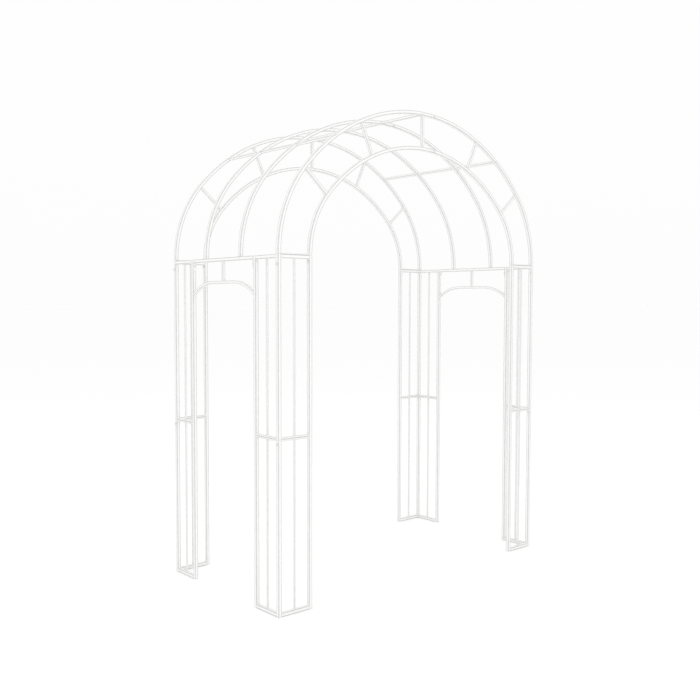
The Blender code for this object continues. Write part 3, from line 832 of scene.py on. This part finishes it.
def build_bolts():
    for side_y, face in ((-1, "front"), (1, "back")):
        for side_x, side in ((-1, "left"), (1, "right")):
            corner, front_end, side_end = leg_posts(side_x, side_y)
            for name, centre, height in (
                ("leg_joint", corner, JOINT_HEIGHT - LEG_BOLT_DROP),
                ("corner_top", corner, LEG_HEIGHT - CORNER_BOLT_DROP),
                ("inner_top", front_end, LEG_HEIGHT - INNER_BOLT_DROP),
            ):
                bolt(f"{face}_{side}_{name}_bolt", centre + Z * height, X * side_x, TUBE)
            inward = -Y * side_y
            clamped = TUBE + GAP + TAB_THICKNESS
            tab = side_end + Z * (LEG_HEIGHT - TAB_BOLT_DROP) + inward * (clamped - TUBE) / 2
            bolt(f"{face}_{side}_side_frame_bolt", tab, inward, clamped)
        for line in PURLIN_STATIONS:
            place = purlin_point(line)[0] + Y * side_y * HALF_DEPTH
            bolt(f"{face}_{line}_purlin_bolt", place, -Y * side_y, TUBE, capped=False)
    splices = [(name, "outer", 0.0) for name in RIB_POSITIONS]
    splices += [(name, "inner", PANEL_WIDTH) for name in ("front", "back")]
    for name, rib, inset in splices:
        distance = rib_length(inset)[1] / 2 + SPLICE_OFFSET + SPLICE_BOLT_OFFSET
        y = RIB_POSITIONS[name]
        place = rib_point(rib_turn(distance, inset), inset)[0][0] + Y * y
        bolt(f"{name}_{rib}_splice_bolt", place, Y if y > 0 else -Y, TUBE)


# ---------------------------------------------------------------- studio

# The floor's far edge is as pale as the surround just above it, so no line shows between them.
FLOOR_RADIUS = 1000.0
FLOOR_SIDES = 96
FLOOR_DROP = 0.0005
HORIZON = (0.981, 0.981, 0.981, 1.0)
OVERHEAD = (0.990, 0.990, 0.990, 1.0)
RISE_TO_OVERHEAD = 0.25

CAMERA_PLACE = (-3.543, -3.981, 1.577)
CAMERA_HEADING = math.radians(49.15)
CAMERA_PITCH = -0.0535
CAMERA_ROLL = 0.0023
LENS = 44.72


def build_floor():
    """A plain pale disc out to the horizon."""
    turns = np.arange(FLOOR_SIDES) * 2 * math.pi / FLOOR_SIDES
    drop = np.full(FLOOR_SIDES, -FLOOR_DROP)
    rim = np.stack([FLOOR_RADIUS * np.cos(turns), FLOOR_RADIUS * np.sin(turns), drop], axis=-1)
    mesh = bpy.data.meshes.new("studio_floor")
    mesh.from_pydata(rim.tolist(), [], [list(range(FLOOR_SIDES))])
    floor = bpy.data.objects.new("studio_floor", mesh)
    bpy.context.scene.collection.objects.link(floor)
    material, _, shader = new_material("pale_floor", Roughness=0.9, Specular_IOR_Level=0.0)
    shader.inputs["Base Color"].default_value = paint_colour("#FEFEFE")
    mesh.materials.append(material)


def build_surround():
    """An even pale surround, a little lighter overhead than at the horizon."""
    world = bpy.data.worlds.new("studio_surround")
    world.use_nodes = True
    tree = world.node_tree
    direction = add_node(tree, "ShaderNodeTexCoord", "Generated")
    height = add_node(tree, "ShaderNodeSeparateXYZ", "Z", Vector=direction)
    rise = add_node(tree, "ShaderNodeMapRange", "Result", Value=height, From_Max=RISE_TO_OVERHEAD)
    surround = add_node(
        tree, "ShaderNodeMix", 2, COLOURS, input_0=rise, input_6=HORIZON, input_7=OVERHEAD
    )
    tree.links.new(surround, tree.nodes["Background"].inputs["Color"])
    bpy.context.scene.world = world


def build_studio():
    """The floor, the surround and two soft lights: one from the front left, and one overhead."""
    build_floor()
    build_surround()
    soft_light("key_light", (-5.0, -5.8, 4.5), (0, 0, 1.3), 4.0, 70)
    soft_light("top_light", (0.5, 0.5, 7.5), (0, 0, 1.0), 5.0, 40)


def aim(obj, target):
    direction = np.asarray(target, float) - np.asarray(obj.location)
    back = -direction / np.linalg.norm(direction)
    right = np.cross(Z, back)
    right /= np.linalg.norm(right)
    turn_to(obj, right, np.cross(back, right), back)


def turn_to(obj, right, up, back):
    turned_axes = np.eye(4)
    turned_axes[:3] = np.stack([right, up, back, np.asarray(obj.location)], axis=-1)
    obj.matrix_world = Matrix(turned_axes.tolist())


def soft_light(name, location, target, size, power):
    data = bpy.data.lights.new(name, "AREA")
    data.shape = "DISK"
    data.size = size
    data.energy = power
    light = bpy.data.objects.new(name, data)
    bpy.context.scene.collection.objects.link(light)
    light.location = location
    aim(light, target)


def build_camera():
    """A camera at eye height, off the front left leg."""
    ahead = np.array([math.cos(CAMERA_HEADING), math.sin(CAMERA_HEADING), 0.0])
    forward = ahead * math.cos(CAMERA_PITCH) + Z * math.sin(CAMERA_PITCH)
    level = np.cross(ahead, Z)
    upward = np.cross(level, forward)
    right = level * math.cos(CAMERA_ROLL) + upward * math.sin(CAMERA_ROLL)
    up = upward * math.cos(CAMERA_ROLL) - level * math.sin(CAMERA_ROLL)
    data = bpy.data.cameras.new("camera")
    data.lens = LENS
    data.sensor_width = 36.0
    camera = bpy.data.objects.new("camera", data)
    bpy.context.scene.collection.objects.link(camera)
    camera.location = CAMERA_PLACE
    turn_to(camera, right, up, -forward)
    bpy.context.scene.camera = camera


build_legs()
build_roof()
for side_x, side in ((-1, "left"), (1, "right")):
    welded(f"{side}_side_frame", side_frame(side_x))
build_bolts()
build_studio()
build_camera()
bpy.context.scene.view_settings.view_transform = "Standard"
